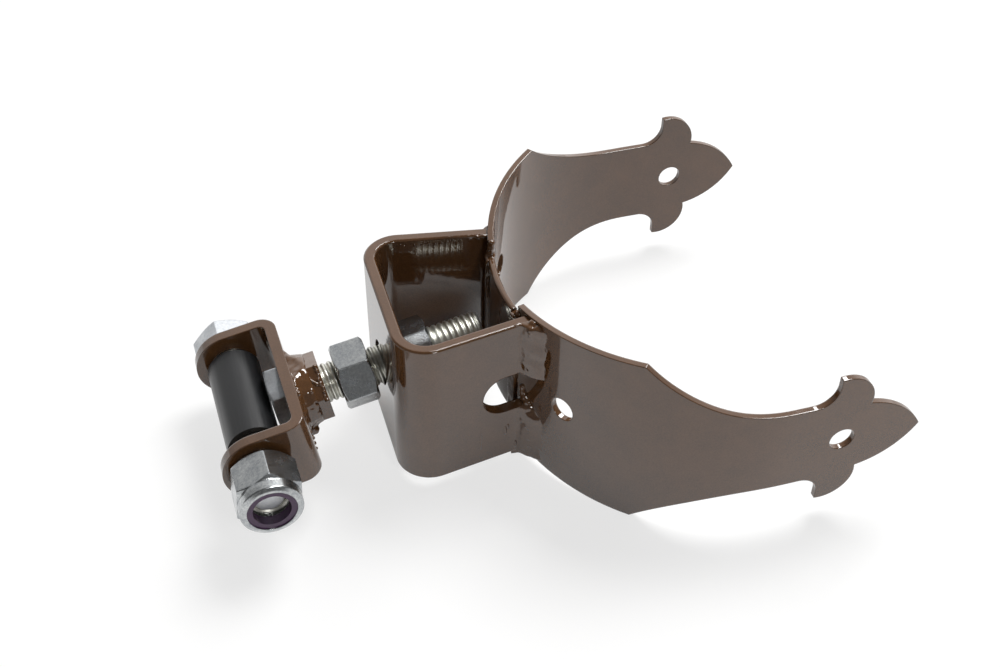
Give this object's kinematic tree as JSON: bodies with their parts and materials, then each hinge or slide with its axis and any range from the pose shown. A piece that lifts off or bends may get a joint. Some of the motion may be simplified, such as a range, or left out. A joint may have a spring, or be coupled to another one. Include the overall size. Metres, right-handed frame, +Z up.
{
  "type": "gate hinge",
  "caption": "Adjustable gate hinge: fleur-de-lis straps clasp a round post, and a threaded bolt with jam nuts carries a clevis with a pivot bush",
  "frame": {"origin": "middle of the round post, at mid height of the straps", "axes": "+X from the adjuster through the post towards the strap tips, +Y towards the bolt head's end of the pivot, +Z up along the post"},
  "size_m": [0.2085, 0.141, 0.0644],
  "materials": {
    "enamel": "glossy brown enamel over welded steel",
    "zinc": "bright zinc plate on half-inch fasteners",
    "nylon": "dark purple nylon locking ring",
    "bush": "satin black sleeve with faint drawn lines"
  },
  "bodies": {
    "bracket": {"box_bracket": "enamel", "saddle_plate": "enamel", "near_strap": "enamel", "far_strap": "enamel", "near_upper_weld": "enamel", "near_lower_weld": "enamel", "far_wall_weld": "enamel", "near_seam_weld": "enamel", "far_seam_weld": "enamel"},
    "jam_nuts": {"outer_jam_nut": "zinc", "inner_jam_nut": "zinc"},
    "clevis_unit": {"adjuster_bolt": "zinc", "clevis": "enamel", "weld_nut": "enamel", "clevis_weld": "enamel", "pivot_bolt": "zinc", "lock_nut": "zinc", "nylon_ring": "nylon"},
    "bush": {"pivot_bush": "bush"}
  },
  "joints": [
    {"name": "nut_turn", "type": "hinge", "parent": "bracket", "child": "jam_nuts", "pos_m": [-0.1085, 0, -0.0006], "axis": [0.9861, 0.0396, 0.1616], "range_deg": [-565, 2960]},
    {"name": "bolt_travel", "type": "slide", "parent": "bracket", "child": "clevis_unit", "axis": [0.9861, 0.0396, 0.1616], "range_m": [-0.016, 0.003]},
    {"name": "bush_turn", "type": "hinge", "parent": "clevis_unit", "child": "bush", "pos_m": [-0.15277, -0.00178, -0.00786], "axis": [-0.0345, 0.9988, -0.0344], "continuous": true}
  ],
  "couplings": [
    {"joint": "nut_turn", "follows": "bolt_travel", "rad_per_m": -3215.8}
  ]
}
